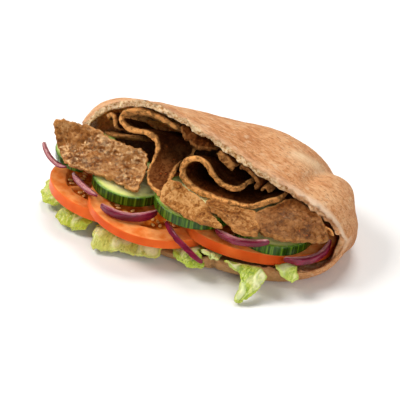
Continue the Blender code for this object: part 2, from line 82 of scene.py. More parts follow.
# --- Node trees --------------------------------------------------------------------------------------
class Shader:
    """A material on one Principled BSDF, with short calls for the nodes that feed it."""

    def __init__(self, name, **values):
        self.material = bpy.data.materials.new(name)
        self.material.use_nodes = True
        self.nodes = self.material.node_tree.nodes
        self.links = self.material.node_tree.links
        self.surface = self.nodes["Principled BSDF"]
        self.set(**values)

    def set(self, **values):
        """Sets or links the surface's sockets, named with _ for a space."""
        for key, value in values.items():
            self.feed(self.surface.inputs[key.replace("_", " ")], value)

    def feed(self, socket, value):
        """Links a socket to the socket, or sets it to a number or colour."""
        if isinstance(value, bpy.types.NodeSocket):
            self.links.new(value, socket)
        else:
            socket.default_value = value

    def place(self, stretch=(1, 1, 1)):
        """Object coordinates in millimetres, divided by `stretch`."""
        node = self.nodes.new("ShaderNodeMapping")
        coordinates = self.nodes.new("ShaderNodeTexCoord")
        self.links.new(coordinates.outputs["Object"], node.inputs["Vector"])
        node.inputs["Scale"].default_value = [1 / (MM * s) for s in stretch]
        return node.outputs["Vector"]

    def attribute(self, name, output="Fac"):
        """The mesh's own values of that name."""
        node = self.nodes.new("ShaderNodeAttribute")
        node.attribute_name = name
        return node.outputs[output]

    def noise(self, size, detail=3.0, roughness=0.55, stretch=(1, 1, 1), vector=None, distortion=0.0):
        """Noise with features about `size` millimetres wide, from 0 to 1."""
        node = self.nodes.new("ShaderNodeTexNoise")
        self.links.new(vector or self.place(stretch), node.inputs["Vector"])
        node.inputs["Scale"].default_value = 1 / size
        node.inputs["Detail"].default_value = detail
        node.inputs["Roughness"].default_value = roughness
        node.inputs["Distortion"].default_value = distortion
        return node.outputs["Fac"]

    def cells(self, size):
        """Distance to the nearest of scattered points that are about `size` millimetres apart."""
        node = self.nodes.new("ShaderNodeTexVoronoi")
        self.links.new(self.place(), node.inputs["Vector"])
        node.inputs["Scale"].default_value = 1 / size
        return node.outputs["Distance"]

    def ramp(self, value, *stops):
        """Maps a value through (position, number or colour) stops."""
        node = self.nodes.new("ShaderNodeValToRGB")
        self.feed(node.inputs["Fac"], value)
        elements = node.color_ramp.elements
        while len(elements) < len(stops):
            elements.new(1.0)
        for element, (position, colour) in zip(elements, stops):
            element.position = position
            rgb = colour if isinstance(colour, tuple) else (colour,) * 3
            element.color = (*rgb, 1.0)
        return node.outputs["Color"]

    def mix(self, share, first, second):
        """The first colour where the share is 0, the second where it is 1."""
        node = self.nodes.new("ShaderNodeMix")
        node.data_type = "RGBA"
        self.feed(node.inputs["Factor"], share)
        for key, value in (("A", first), ("B", second)):
            socket = next(s for s in node.inputs if s.name == key and s.type == "RGBA")
            self.feed(socket, (*value, 1.0) if isinstance(value, tuple) else value)
        return next(s for s in node.outputs if s.type == "RGBA")

    def tint(self, name, strength, first, second):
        """Goes from the first colour towards the second where the attribute `name` goes from 0 to 1."""
        return self.mix(self.math("MULTIPLY", self.attribute(name), strength), first, second)

    def math(self, operation, first, second):
        node = self.nodes.new("ShaderNodeMath")
        node.operation = operation
        self.feed(node.inputs[0], first)
        self.feed(node.inputs[1], second)
        return node.outputs[0]

    def total(self, *parts):
        """The sum of values that are each multiplied by their weight."""
        result, *others = [self.math("MULTIPLY", value, weight) for value, weight in parts]
        for other in others:
            result = self.math("ADD", result, other)
        return result

    def scatter(self, weight, *depths):
        """Lets light in under the surface, to a depth in millimetres for red, green and blue."""
        radius = [depth * MM for depth in depths]
        self.set(Subsurface_Weight=weight, Subsurface_Radius=radius, Subsurface_Scale=1.0)

    def bump(self, height, depth, normal=None):
        """A bump `depth` millimetres deep for a height from 0 to 1, on top of another bump's normal."""
        node = self.nodes.new("ShaderNodeBump")
        node.inputs["Strength"].default_value = 1.0
        node.inputs["Distance"].default_value = depth * MM
        self.links.new(height, node.inputs["Height"])
        if normal:
            self.links.new(normal, node.inputs["Normal"])
        return node.outputs["Normal"]


def bread_material():
    """Toasted wheat crust outside, pale open crumb where the `crumb` attribute is 1."""
    m = Shader("bread", Specular_IOR_Level=0.25)
    along_mouth = (3.2, 1.0, 1.0)
    streaks = m.noise(1.3, 4, 0.65, stretch=along_mouth)
    bands = m.noise(6.0, 2, 0.5, stretch=(3.0, 1.0, 1.0))
    patches = m.noise(24.0, 2, 0.5)
    crust = m.ramp(
        m.total((streaks, 0.42), (bands, 0.28), (patches, 0.30)),
        (0.39, (0.76, 0.45, 0.24)),
        (0.47, (0.69, 0.35, 0.16)),
        (0.53, (0.60, 0.26, 0.10)),
        (0.61, (0.43, 0.155, 0.045)),
    )
    dashes = m.noise(0.8, 2, 0.5, stretch=along_mouth)
    crust = m.mix(m.ramp(dashes, (0.55, 0.0), (0.68, 0.75)), crust, (0.36, 0.135, 0.04))
    blisters = m.noise(3.4, 2, 0.5, stretch=(1.6, 1.0, 1.0))
    crust = m.mix(m.ramp(blisters, (0.60, 0.0), (0.72, 0.55)), crust, (0.78, 0.55, 0.35))
    spots = m.ramp(m.cells(10.0), (0.05, 1.0), (0.12, 0.0))
    spotted = m.ramp(m.noise(26.0, 1), (0.50, 0.0), (0.60, 1.0))
    crust = m.mix(m.mix(spotted, (0.0, 0.0, 0.0), spots), crust, (0.20, 0.08, 0.03))
    # painted highlight: a pale patch on the roof where the `painted_highlight` attribute is 1
    crust = m.tint("painted_highlight", 0.6, crust, (0.86, 0.64, 0.40))
    crust = m.tint("pale", 0.85, crust, (0.82, 0.60, 0.42))
    # painted shade: the crease across the lower lip is coloured almost black
    crust = m.tint("crease_and_painted_shade", 0.85, crust, (0.16, 0.06, 0.02))
    # painted shade: the crust low on the front lip, under the filling, is coloured darker where the
    # `low` attribute is 1
    crust = m.tint("low", 0.7, crust, (0.36, 0.20, 0.07))
    pores = m.noise(1.5, 3, 0.6)
    crumb = m.ramp(
        pores,
        (0.35, (0.42, 0.18, 0.05)),
        (0.44, (0.68, 0.41, 0.19)),
        (0.57, (0.90, 0.68, 0.42)),
    )
    # painted shade: the crumb deep in the pocket goes almost black where the `deep` attribute is 1
    crumb = m.tint("deep", 0.92, crumb, (0.10, 0.03, 0.006))
    # painted light: the crumb at the pocket's left end is coloured bright orange, as if light shone
    # through the thin bread
    painted_glow = m.ramp(pores, (0.35, (0.60, 0.22, 0.03)), (0.62, (0.95, 0.50, 0.12)))
    crumb = m.mix(m.attribute("painted_glow"), crumb, painted_glow)
    inside = m.attribute("crumb")
    m.set(Base_Color=m.mix(inside, crust, crumb), Roughness=0.72)
    fine = m.bump(m.noise(0.7, 3, 0.6), 0.12)
    m.set(Normal=m.bump(m.mix(inside, streaks, pores), 0.7, fine))
    m.scatter(0.08, 4, 2, 1)
    return m.material


def meat_material(name, dark, middle, light, gold, roughness, grit):
    """Roasted meat: mottled, with flecks and red specks, coloured darker as painted shade where the
    `inner` attribute is 1, and crisp and golden along the `rim` attribute. The less rough it is, the
    greasier it shines."""
    m = Shader(name, Specular_IOR_Level=1.4 - 2.4 * roughness, Specular_Tint=(1.0, 0.72, 0.36, 1.0))
    grain = m.noise(2.2, 5, 0.65, distortion=0.8)
    broad = m.noise(11.0, 2, 0.5)
    colour = m.ramp(m.total((grain, 0.62), (broad, 0.38)), (0.40, dark), (0.50, middle), (0.60, light))
    flecks = m.ramp(m.cells(2.2), (0.10, 0.7), (0.24, 0.0))
    colour = m.mix(flecks, colour, dark)
    specks = m.ramp(m.cells(3.4), (0.07, 0.8), (0.12, 0.0))
    colour = m.mix(specks, colour, (0.42, 0.07, 0.012))
    crisp = m.math("MULTIPLY", m.ramp(m.attribute("rim"), (0.70, 0.0), (0.95, 1.0)), gold)
    rough_edge = m.ramp(m.noise(2.4, 3, 0.6), (0.40, 0.35), (0.54, 1.0))
    shade = tuple(0.16 * value for value in dark)
    # painted shade: the curls are coloured almost black where `inner` is 1
    colour = m.tint("inner", 0.8, colour, shade)
    colour = m.mix(m.math("MULTIPLY", crisp, rough_edge), colour, EDGE)
    greasy = m.ramp(m.noise(4.0, 2), (0.35, roughness - 0.12), (0.65, roughness + 0.15))
    m.set(Base_Color=colour, Roughness=greasy)
    fine = m.bump(m.noise(0.8, 3, 0.6), 0.3 * grit)
    m.set(Normal=m.bump(grain, grit, fine))
    m.scatter(0.05, 3, 1, 0.5)
    return m.material


def tomato_material():
    """Fibrous flesh, with wet red jelly in the seed chambers and a smooth skin."""
    m = Shader("tomato", Roughness=0.3, Specular_IOR_Level=0.12, Specular_Tint=(1.0, 0.7, 0.35, 1.0))
    fibre = m.noise(5.0, 3, 0.5)
    flesh = m.ramp(fibre, (0.35, (0.72, 0.16, 0.025)), (0.65, (0.86, 0.33, 0.10)))
    gel = m.ramp(m.noise(3.0, 2), (0.40, (0.44, 0.07, 0.004)), (0.62, (0.62, 0.18, 0.02)))
    skin = m.ramp(m.noise(16.0, 2), (0.40, (0.72, 0.09, 0.012)), (0.62, (0.84, 0.15, 0.025)))
    colour = m.mix(m.attribute("gel"), flesh, gel)
    colour = m.mix(m.attribute("skin"), colour, skin)
    m.set(Base_Color=colour)
    m.set(Normal=m.bump(m.noise(1.4, 2, 0.5), 0.04))
    m.scatter(0.1, 4, 1, 0.2)
    return m.material


def seed_material():
    """Tomato seeds, yellow with the jelly on them."""
    m = Shader("seeds", Roughness=0.3)
    m.set(Base_Color=m.ramp(m.noise(1.5, 2), (0.35, (0.60, 0.24, 0.06)), (0.65, (0.80, 0.46, 0.16))))
    m.set(Normal=m.bump(m.noise(0.5, 2), 0.05))
    m.scatter(0.3, 3, 1, 0.5)
    return m.material


def cucumber_material():
    """Rind with lengthwise streaks, and flesh with darker seeds that pales away from the rind."""
    m = Shader("cucumber", Roughness=0.25, Specular_IOR_Level=0.3)
    around = m.attribute("ring", "Vector")
    streaks = m.noise(0.07, 3, 0.6, vector=around)
    rind = m.ramp(
        streaks,
        (0.38, (0.010, 0.035, 0.001)),
        (0.52, (0.035, 0.10, 0.003)),
        (0.66, (0.13, 0.24, 0.012)),
    )
    flesh = m.ramp(
        m.attribute("depth"),
        (0.0, (0.92, 0.84, 0.42)),
        (0.70, (0.88, 0.84, 0.36)),
        (0.90, (0.66, 0.72, 0.20)),
        (0.96, (0.16, 0.32, 0.02)),
    )
    flesh = m.mix(m.ramp(m.noise(1.8, 3), (0.45, 0.0), (0.75, 0.4)), flesh, (0.76, 0.76, 0.50))
    flesh = m.tint("seed", 0.6, flesh, (0.74, 0.70, 0.42))
    m.set(Base_Color=m.mix(m.attribute("skin"), flesh, rind))
    m.set(Normal=m.bump(m.noise(1.0, 3), 0.10))
    m.scatter(0.25, 4, 4, 2)
    return m.material


def onion_material():
    """Dark glossy skins; the cut faces are pale, with fine purple lines between the layers."""
    m = Shader("red_onion", Roughness=0.2, Specular_IOR_Level=0.38)
    streaks = m.noise(2.2, 3, 0.6, stretch=(4.0, 4.0, 1.0))
    skin = m.ramp(streaks, (0.35, (0.11, 0.002, 0.016)), (0.65, (0.26, 0.010, 0.045)))
    layers = m.noise(0.16, 2, 0.5, vector=m.attribute("layer", "Vector"))
    cut = m.ramp(layers, (0.36, (0.30, 0.05, 0.07)), (0.60, (0.66, 0.34, 0.33)))
    m.set(Base_Color=m.mix(m.attribute("skin"), cut, skin))
    m.set(Normal=m.bump(m.noise(1.2, 3), 0.08))
    m.scatter(0.08, 4, 1, 2)
    return m.material


def lettuce_material(name, deep, bright):
    """Leaf with pale ribs that turns bright green towards its frilly `rim`."""
    m = Shader(name, Roughness=0.3, Specular_IOR_Level=0.4)
    veins = m.noise(2.6, 4, 0.6, stretch=(0.7, 1.6, 1.0), distortion=1.2)
    leaf = m.ramp(veins, (0.38, deep), (0.52, bright), (0.68, (0.72, 0.74, 0.26)))
    pale = m.ramp(m.noise(12.0, 2), (0.48, 0.0), (0.64, 0.75))
    leaf = m.mix(pale, leaf, (0.84, 0.80, 0.50))
    leaf = m.tint("rib", 0.6, leaf, (0.84, 0.87, 0.50))
    leaf = m.mix(m.ramp(m.attribute("rim"), (0.6, 0.0), (0.95, 0.8)), leaf, bright)
    m.set(Base_Color=leaf)
    m.set(Normal=m.bump(veins, 0.35, m.bump(m.noise(0.8, 2), 0.06)))
    m.scatter(0.2, 2, 3, 0.5)
    return m.material


# --- Pieces ------------------------------------------------------------------------------------------
def finish_piece(mesh, name, material, slot, *nodes):
    """Makes the mesh a piece of the sandwich that takes the place of its CAD nodes."""
    mesh.materials.clear()
    mesh.materials.append(material)
    mesh.shade_smooth()
    piece = bpy.data.objects.new(name, mesh)
    bpy.context.scene.collection.objects.link(piece)
    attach(piece, "root")
    if nodes:
        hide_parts(*nodes)


def set_attribute(mesh, name, values):
    """Stores a number or a vector for each point."""
    kind, key = ("FLOAT_VECTOR", "vector") if np.ndim(values) == 2 else ("FLOAT", "value")
    attribute = mesh.attributes.get(name) or mesh.attributes.new(name, kind, "POINT")
    attribute.data.foreach_set(key, np.asarray(values, np.float32).ravel())


def mesh_of(name, points, faces, **attributes):
    """A mesh from points in millimetres, with attributes of those names."""
    mesh = bpy.data.meshes.new(name)
    mesh.from_pydata((np.asarray(points) * MM).tolist(), [], faces)
    for key, values in attributes.items():
        set_attribute(mesh, key, values)
    return mesh


SAME_POINT = 1e-6  # points nearer than this, in metres, are one


def welded(node):
    """The node's solid, with the points of neighbouring faces joined."""
    bm = bmesh.new()
    bm.from_mesh(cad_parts[node].data)
    bmesh.ops.remove_doubles(bm, verts=bm.verts, dist=SAME_POINT)
    return bm


def join_quads(bm):
    """Turns the solid's triangles back into the quads they came from."""
    flat, any_shape = math.radians(40), math.pi
    bmesh.ops.join_triangles(
        bm, faces=bm.faces, angle_face_threshold=flat, angle_shape_threshold=any_shape
    )


RIM_ANGLE = math.radians(42)  # a skin turns into the rim where its faces meet at more than this
SKIN_0, SKIN_1, RIM = 0, 1, 2


def skins_of(bm):
    """A label for each face: SKIN_0 and SKIN_1 for the two large skins, biggest first, and RIM."""
    bm.faces.ensure_lookup_table()
    group = [-1] * len(bm.faces)
    areas = []
    for seed in bm.faces:
        if group[seed.index] >= 0:
            continue
        group[seed.index] = len(areas)
        todo, area = [seed], 0.0
        while todo:
            face = todo.pop()
            area += face.calc_area()
            for edge in face.edges:
                if edge.calc_face_angle(0) > RIM_ANGLE:
                    continue
                for other in edge.link_faces:
                    if group[other.index] < 0:
                        group[other.index] = len(areas)
                        todo.append(other)
        areas.append(area)
    order = np.argsort(areas)[::-1]
    label = {int(order[0]): SKIN_0, int(order[1]): SKIN_1}
    return [label.get(g, RIM) for g in group]


SMOOTHINGS = 3  # how many times the solid is subdivided


def refined(node, crease):
    """The node's solid as a fine mesh. Its points carry three attributes: `rim` is 1 on the sheet's
    rim, `outward` is the way that the rim faces, and `side` is 0 on the larger skin and 1 elsewhere."""
    bm = welded(node)
    join_quads(bm)
    labels = skins_of(bm)
    rim = bm.verts.layers.float.new("rim")
    side = bm.verts.layers.float.new("side")
    outward = bm.verts.layers.float_vector.new("outward")
    for vert in bm.verts:
        found = [labels[f.index] for f in vert.link_faces]
        vert[side] = 0.0 if SKIN_0 in found else 1.0
        if RIM in found:
            vert[rim] = 1.0
            total = sum((f.normal for f in vert.link_faces if labels[f.index] == RIM), Vector())
            vert[outward] = total.normalized()
    sharp = bm.edges.layers.float.new("crease_edge")
    for edge in bm.edges:
        if len({labels[f.index] == RIM for f in edge.link_faces}) == 2:
            edge[sharp] = crease
    coarse = bpy.data.meshes.new(node + "_coarse")
    bm.to_mesh(coarse)
    bm.free()
    holder = bpy.data.objects.new(node + "_coarse", coarse)
    bpy.context.scene.collection.objects.link(holder)
    modifier = holder.modifiers.new("fine", "SUBSURF")
    modifier.levels = modifier.render_levels = SMOOTHINGS
    depsgraph = bpy.context.evaluated_depsgraph_get()
    mesh = bpy.data.meshes.new_from_object(holder.evaluated_get(depsgraph))
    bpy.data.objects.remove(holder)
    return mesh


def read(mesh, name):
    """An attribute's values, or the points or normals in millimetres, as an array."""
    count = len(mesh.vertices)
    if name in ("co", "normal"):
        values = np.zeros(count * 3)
        mesh.vertices.foreach_get(name, values)
        return values.reshape(-1, 3) * (1 / MM if name == "co" else 1.0)
    attribute = mesh.attributes[name]
    if attribute.data_type == "FLOAT_VECTOR":
        values = np.zeros(count * 3)
        attribute.data.foreach_get("vector", values)
        return values.reshape(-1, 3)
    values = np.zeros(count)
    attribute.data.foreach_get("value", values)
    return values


def write_points(mesh, points):
    """Moves the mesh's points to these, in millimetres."""
    mesh.vertices.foreach_set("co", (points * MM).ravel())
    mesh.update()


def near_line(points, start, end, width):
    """1 on the line between two spots of the plan, falling to 0 about `width` millimetres away."""
    a, b = np.array(start), np.array(end)
    flat = points[:, :2] - a
    along = np.clip(flat @ (b - a) / ((b - a) @ (b - a)), 0, 1)
    away = np.linalg.norm(flat - along[:, None] * (b - a), axis=1)
    return np.exp(-((away / width) ** 2))


# Swells and dents of the roof: their height, the line of the plan that they follow, and their width.
ROOF_SWELLS = (
    (-1.7, (50.5, 0), (51, 30), 3.6),
    (2.6, (66, 0), (62, 26), 9.0),
    (1.3, (14, 24), (40, 18), 14.0),
)
# The crease across the lower lip: its X at the floor, how far it leans, its width and its depth.
CREASE_AT, CREASE_LEAN, CREASE_WIDTH, CREASE_DEPTH = 22.6, 0.15, 1.1, 1.6


def make_pita():
    mesh = refined("pita", crease=0.75)
    points, normals = read(mesh, "co"), read(mesh, "normal")
    rim, side, outward = read(mesh, "rim"), read(mesh, "side"), read(mesh, "outward")
    crumb = smoothstep(0.04, 0.2, side)
    on_edge = np.linalg.norm(outward, axis=1)
    x, y, z = points.T
    roof = smoothstep(22, 30, z)
    upper = smoothstep(14, 24, z)
    # The crust swells and sinks, and the crumb is rough. The underside stays flat.
    swell = 0.8 * noise(points, 26, 2) + 0.22 * noise(points, 8, 2) + 0.08 * noise(points, 2.2, 2)
    for height, line_start, line_end, width in ROOF_SWELLS:
        swell += height * near_line(points, line_start, line_end, width) * roof
    front = smoothstep(-34, -40, y) * smoothstep(16, 10, z)
    # The crease dents the lower lip, and its mask also paints shade into the crust's colour.
    crease_and_painted_shade = np.exp(-(((x - CREASE_AT - CREASE_LEAN * z) / CREASE_WIDTH) ** 2)) * front
    swell -= CREASE_DEPTH * crease_and_painted_shade
    rough = 0.5 * noise(points, 3.0, 3) + 0.3 * noise(points, 1.3, 2)
    above_floor = smoothstep(0.0, 3.0, z)
    shift = (1 - crumb) * swell * above_floor + crumb * rough
    points = points + normals * shift[:, None]
    # The cut edge is torn, most of all along the upper lip.
    torn = (1.1 * noise(points, 4.0, 2) + 1.0 * noise(points, 1.7, 3)) * (0.3 + 0.7 * upper)
    points = points + outward * (smoothstep(0.3, 1.0, on_edge) * torn)[:, None]
    points[:, 2] = np.maximum(points[:, 2], 0.0)
    write_points(mesh, points)
    # Crust covers the crumb where the bread is folded: at the right end and along the lower lip.
    fold = np.maximum(smoothstep(38, 56, x), smoothstep(20, 14, z) * smoothstep(-12, -24, y))
    set_attribute(mesh, "crumb", crumb * (1 - 0.75 * fold))
    # painted highlight: a pale streak on the roof, left of the groove, where the swell catches the light
    set_attribute(mesh, "painted_highlight", near_line(points, (38, 12), (47, 16), 4.5) * roof)
    lip = 0.25 + 0.75 * smoothstep(35, 60, x)
    set_attribute(mesh, "pale", smoothstep(0.3, 0.9, rim) * (1 - crumb) * upper * lip)
    # painted shade: `low` darkens the crust low on the front lip, under the filling
    set_attribute(mesh, "low", smoothstep(17, 5, z) * smoothstep(-20, -38, y))
    # painted shade: the crease's mask darkens the crust's colour in the crease
    set_attribute(mesh, "crease_and_painted_shade", crease_and_painted_shade)
    # Painted light and shade in the pocket: the crumb at the left end is painted a bright, lit orange,
    # and the crumb in between is painted near-black shade, except at the bottom right.
    painted_glow = smoothstep(-44, -54, x) * smoothstep(16, 24, z)
    within = smoothstep(0.7, 0.3, rim)
    lower = smoothstep(24, 16, z) * smoothstep(20, 45, x)
    set_attribute(mesh, "painted_glow", painted_glow * within)
    # painted shade: `deep` is 1 on the pocket's crumb between its lit left end and its bottom right
    set_attribute(mesh, "deep", (1 - painted_glow) * within * smoothstep(45, 25, x) * (1 - lower))
    finish_piece(mesh, "pita_bread", bread_material(), "bread", "pita")


# The colours of roasted meat, and that of its crisp edge.
DARK, MIDDLE, LIGHT = (0.10, 0.022, 0.004), (0.30, 0.105, 0.02), (0.52, 0.25, 0.085)
EDGE = (0.90, 0.42, 0.13)
# Each slice of meat: its CAD node, how bright it is (its own tone, and painted shade on the dark slices
# that lie deep in the mouth), how golden its rim, how rough, how wrinkled, the depth of its grit, and
# how far its torn edge runs past the solid's.
MEATS = {
    "meat_flap_left": (0.86, 0.3, 0.24, 0.5, 0.22, 0.3),
    "meat_curl_large": (0.34, 0.85, 0.55, 0.22, 0.3, 0.2),
    "meat_curl_small": (0.26, 0.9, 0.55, 0.22, 0.3, 0.2),
    "meat_curl_left": (0.6, 0.7, 0.5, 0.2, 0.4, 0.2),
    "meat_curl_corner": (1.3, 0.9, 0.45, 0.2, 0.3, 0.2),
    "meat_flap_front": (1.2, 0.2, 0.5, 0.25, 0.3, 0.4),
    "meat_lump_front": (0.95, 0.3, 0.45, 0.4, 0.35, 1.3),
    "meat_flap_right": (0.60, 0.3, 0.42, 0.35, 0.35, 1.1),
    "meat_strand_top": (0.35, 0.2, 0.55, 0.8, 0.6, 0.3),
    "meat_fold_back": (0.32, 0.5, 0.5, 0.5, 0.5, 0.3),
    "meat_fold_right": (0.3, 0.35, 0.5, 0.4, 0.5, 0.3),
    "meat_fold_tip": (0.35, 0.5, 0.45, 0.2, 0.4, 0.2),
    "meat_strip_left": (0.35, 0.4, 0.5, 0.3, 0.4, 0.2),
}


def make_meat(node, tone_and_painted_shade, gold, roughness, wrinkles, grit, past):
    mesh = refined(node, crease=0.35)
    points, normals = read(mesh, "co"), read(mesh, "normal")
    outward = read(mesh, "outward")
    # The slice is uneven, with wrinkles along X and pits.
    stretched = points * (0.55, 1.0, 1.0)
    shift = 0.6 * noise(points, 9, 2) + wrinkles * noise(stretched, 2.6, 3)
    shift -= (0.3 + 0.6 * grit) * smoothstep(0.40, 0.8, noise(points + 50, 2.2, 2))
    on_edge = smoothstep(0.2, 1.0, np.linalg.norm(outward, axis=1))
    torn = past + (0.4 + wrinkles) * (0.7 * noise(points, 4.5, 2) + 0.7 * noise(points, 1.6, 3))
    points = points + normals * shift[:, None] * (1 - 0.5 * on_edge)[:, None]
    points = points + outward * (on_edge * torn)[:, None]
    write_points(mesh, points)
    # Painted shade: the curls are coloured darker into the mouth. Darker meat is redder too: it loses
    # green, and blue even more.
    set_attribute(mesh, "inner", smoothstep(-26, -14, points[:, 1]) * ("meat_curl" in node))
    fade = tone_and_painted_shade ** np.array([1.0, 1.35, 1.6])
    colours = [tuple((np.array(colour) * fade).tolist()) for colour in (DARK, MIDDLE, LIGHT)]
    material = meat_material(node + "_roast", *colours, gold, roughness, grit)
    finish_piece(mesh, node + "_slice", material, "doner_meat", node)


# Each leaf: its CAD node, and its deep and bright greens.
LEAVES = {
    "lettuce_left": ((0.30, 0.40, 0.04), (0.52, 0.60, 0.07)),
    "lettuce_left_front": ((0.30, 0.38, 0.03), (0.50, 0.55, 0.04)),
    "lettuce_front": ((0.38, 0.40, 0.07), (0.58, 0.60, 0.12)),
    "lettuce_middle": ((0.14, 0.22, 0.01), (0.42, 0.52, 0.05)),
    "lettuce_middle_right": ((0.40, 0.50, 0.14), (0.56, 0.62, 0.20)),
    "lettuce_right": ((0.22, 0.33, 0.02), (0.46, 0.56, 0.05)),
    "lettuce_right_tip": ((0.24, 0.34, 0.03), (0.48, 0.57, 0.08)),
}
HALF_LEAF = 0.5  # half the thickness of a leaf


def make_leaf(node, deep, bright):
    mesh = refined(node, crease=0.9)
    points, normals = read(mesh, "co"), read(mesh, "normal")
    outward, rim = read(mesh, "outward"), read(mesh, "rim")
    # Both skins of the leaf crumple together, and the ribs stand out of both.
    flip = np.where(read(mesh, "side") > 0.5, -1.0, 1.0)
    middle = points - normals * HALF_LEAF * flip[:, None]
    ribs = smoothstep(0.80, 0.98, 1 - np.abs(noise(middle, 9.0)))
    crumple = 0.7 * noise(middle, 7, 2) + (0.15 + 0.35 * smoothstep(0.2, 1, rim)) * noise(middle, 2.6, 2)
    points = points + normals * (flip * crumple + 0.35 * ribs)[:, None]
    torn = 0.7 * noise(points, 3.0, 3)
    points = points + outward * torn[:, None]
    write_points(mesh, points)
    set_attribute(mesh, "rib", ribs)
    finish_piece(mesh, node + "_leaf", lettuce_material(node + "_green", deep, bright), "lettuce", node)


# --- Round slices ------------------------------------------------------------------------------------
MIDDLE_BAND = 0.15  # points nearer than this to the middle of a slice's thickness give its outline


class RoundFrame:
    """Where a round slice lies: its centre, its flat directions, its thickness and its outline."""

    def __init__(self, node):
        bm = welded(node)
        points = np.array([v.co for v in bm.verts]) / MM
        bm.free()
        centre = points.mean(0)
        axis = np.linalg.svd(points - centre)[2][2]
        self.up = axis * np.sign(axis[2])
        height = (points - centre) @ self.up
        middle = points[np.abs(height) < MIDDLE_BAND]
        self.centre = middle.mean(0)
        self.right = np.cross(np.array([0, 1.0, 0]), self.up)
        self.right /= np.linalg.norm(self.right)
        self.back = np.cross(self.up, self.right)
        self.thickness = height.max() - height.min()
        flat = middle - self.centre
        x, y = flat @ self.right, flat @ self.back
        angle = np.arctan2(y, x)
        order = np.argsort(angle)
        self.angles, self.radii = angle[order], np.hypot(x, y)[order]

    def outline(self, angle):
        """The radius at an angle."""
        return np.interp(angle, self.angles, self.radii, period=2 * math.pi)

    def point(self, share, angle, height):
        """A point at a share of the radius, an angle and a height."""
        r = share * self.outline(angle)
        flat = np.outer(r * np.cos(angle), self.right) + np.outer(r * np.sin(angle), self.back)
        return self.centre + flat + np.outer(height, self.up)


ROUNDING = 0.55  # the height of the rounded edge of a round slice
FLAT_FROM, FLAT_TO = 0.02, 0.97  # the shares of the radius between which the faces are flat


def round_mesh(place, name, around, rings, top_height, masks):
    """A closed slice on polar rings. `top_height(share, angle)` is the relief on its top, and
    `masks(share, angle, level)` gives the attributes, with level 1 on top, -1 below."""
    half = place.thickness / 2
    turn = np.linspace(0, 2 * math.pi, around, endpoint=False)
    # The section from the middle of the top to the middle of the underside: share, height, level.
    top = [(s, half, 1.0) for s in np.linspace(FLAT_FROM, FLAT_TO, rings)]
    bend = [
        (FLAT_TO + (1 - FLAT_TO) * math.sin(a), half - ROUNDING * (1 - math.cos(a)), 1.0)
        for a in (0.5, 1.0, 1.4)
    ]
    wall = [(1.0, h * (half - ROUNDING), h) for h in np.linspace(1, -1, 7)]
    under = [(s, -h, -l) for s, h, l in reversed(bend)]
    below = [(s, -half, -1.0) for s in np.linspace(FLAT_TO, FLAT_FROM, rings // 4)]
    profile = top + bend + wall + under + below
    share = np.repeat([p[0] for p in profile], around)
    height = np.repeat([p[1] for p in profile], around)
    level = np.repeat([p[2] for p in profile], around)
    angle = np.tile(turn, len(profile))
    relief = np.where(level > 0.99, top_height(share, angle) * smoothstep(1.0, 0.93, share), 0.0)
    points = place.point(share, angle, height + relief)
    faces = []
    for ring in range(len(profile) - 1):
        a = ring * around + np.arange(around)
        b = ring * around + (np.arange(around) + 1) % around
        faces += np.column_stack([a, a + around, b + around, b]).tolist()
    faces.append(list(range(around)))
    faces.append([(len(profile) - 1) * around + i for i in reversed(range(around))])
    return mesh_of(name, points, faces, **masks(share, angle, level))


def ring_vector(share, angle):
    """A place on the slice as a vector of length `share`, so that noise on it has no seam."""
    return np.column_stack([share * np.cos(angle), share * np.sin(angle), np.zeros(len(share))])


# Each slice of tomato: its CAD node, how many seed chambers, their turn, and where the outer wall
# begins, as a share of the radius.
TOMATOES = {
    "tomato_left": (5, 0.3, 0.72),
    "tomato_middle": (4, 0.15, 0.69),
    "tomato_right": (5, 0.9, 0.75),
}
CHAMBER_DEPTH = 1.8  # how far the seed chambers sink below the flesh


def make_tomato(node, chambers, turned, wall, material):
    """Makes the slice and returns where its seeds lie."""
    place = RoundFrame(node)

    def chamber(share, angle):
        """1 in a seed chamber, 0 in the flesh."""
        wave = ring_vector(share, angle) * 10
        across = np.abs(np.sin((angle - turned) * chambers / 2)) * share * math.pi
        spoke = smoothstep(0.22, 0.42, across + 0.08 * noise(wave, 1.6))
        rind = smoothstep(wall + 0.02, wall - 0.03, share + 0.03 * noise(wave, 2.2, 2))
        core = smoothstep(0.24, 0.30, share + 0.03 * noise(wave + 30, 1.8))
        return spoke * rind * core

    def relief(share, angle):
        wave = ring_vector(share, angle) * 30
        return -CHAMBER_DEPTH * chamber(share, angle) + 0.14 * noise(wave, 2.5, 3)

    def masks(share, angle, level):
        side = smoothstep(0.985, 1.0, share)
        gel = chamber(share, angle) * (np.abs(level) > 0.99)
        return {"gel": gel, "skin": side}

    mesh = round_mesh(place, node, around=190, rings=64, top_height=relief, masks=masks)
    finish_piece(mesh, node + "_slice", material, "tomato", node)
    return tomato_seeds(place, chambers, turned, wall)


SEED_SINK = 1.0  # how far the seeds lie under the top of the slice
SEEDS_MISSING = 0.25  # the share of the seeds that is left out


def tomato_seeds(place, chambers, turned, wall):
    """Where the seeds of a slice lie: (centre, pointing direction, flat normal)."""
    rng = np.random.default_rng(chambers * 7 + int(wall * 100))
    spots = []
    height = np.array([place.thickness / 2 - SEED_SINK])
    for chamber in range(chambers):
        middle = turned + (chamber + 0.5) * 2 * math.pi / chambers
        width = math.pi / chambers * 0.6
        for angle in np.linspace(middle - width, middle + width, 6):
            for share in (wall - 0.10, wall - 0.24):
                a = angle + rng.uniform(-0.05, 0.05)
                s = share + rng.uniform(-0.03, 0.03)
                if rng.random() < SEEDS_MISSING:
                    continue
                centre = place.point(np.array([s]), np.array([a]), height)[0]
                spin = a + rng.uniform(-0.6, 0.6)
                along = math.cos(spin) * place.right + math.sin(spin) * place.back
                spots.append((centre, along, place.up))
    return spots


